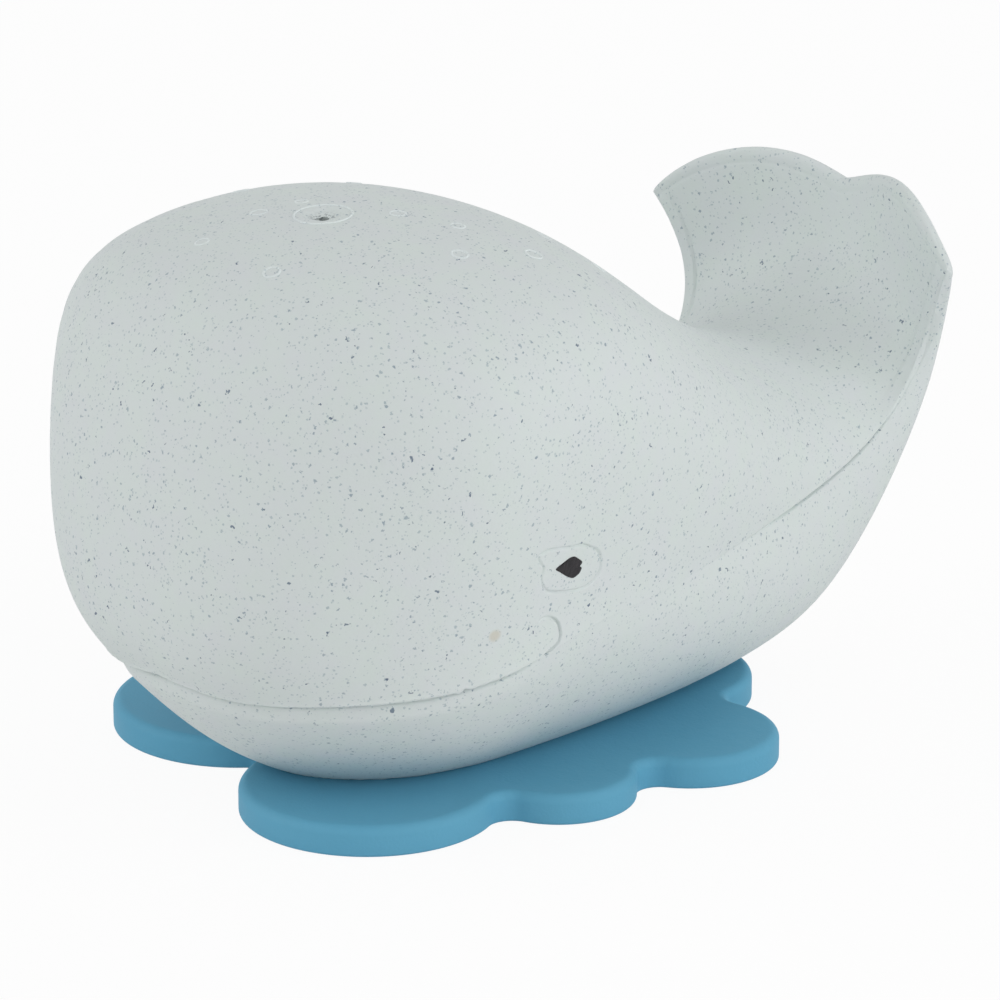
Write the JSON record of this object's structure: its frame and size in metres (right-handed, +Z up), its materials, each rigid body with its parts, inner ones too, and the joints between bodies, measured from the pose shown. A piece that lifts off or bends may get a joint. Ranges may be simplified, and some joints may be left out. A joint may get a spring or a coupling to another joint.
{
  "type": "squeaky bath toy whale",
  "caption": "Hollow speckled rubber whale with a blowhole and an upturned tail, plugged onto a flat scalloped puddle base, that squeaks or squirts when it is squeezed.",
  "frame": {"origin": "on the ground, in the whale's middle plane, under the front half of the plug", "axes": "+Z up, -Y towards the whale's nose, +X towards the whale's left side"},
  "size_m": [0.08, 0.1308, 0.0759],
  "materials": {
    "speckled_rubber": "matt pale grey-blue natural rubber with fine dark flecks",
    "blue_rubber": "matt mid-blue natural rubber",
    "squeaker_plastic": "moulded, satin, off-white",
    "reed_film": "smooth clear film",
    "eye_paint": "matt near-black paint"
  },
  "bodies": {
    "base": {"puddle_base": "blue_rubber"},
    "whale": {"whale_body": "speckled_rubber", "squeaker_barrel": "squeaker_plastic", "reed_seat": "squeaker_plastic", "reed_wedge": "squeaker_plastic", "left_eye": "eye_paint", "right_eye": "eye_paint"},
    "reed": {"squeaker_reed": "reed_film"}
  },
  "joints": [
    {"name": "whale_lift", "type": "slide", "parent": "base", "child": "whale", "axis": [0, 0, 1], "range_m": [0, 0.06]},
    {"name": "reed_flex", "type": "hinge", "parent": "whale", "child": "reed", "pos_m": [0, -0.00825, 0.0685], "axis": [1, 0, 0], "range_deg": [-1, 4], "stiffness_Nm_per_rad": 0.000005}
  ]
}
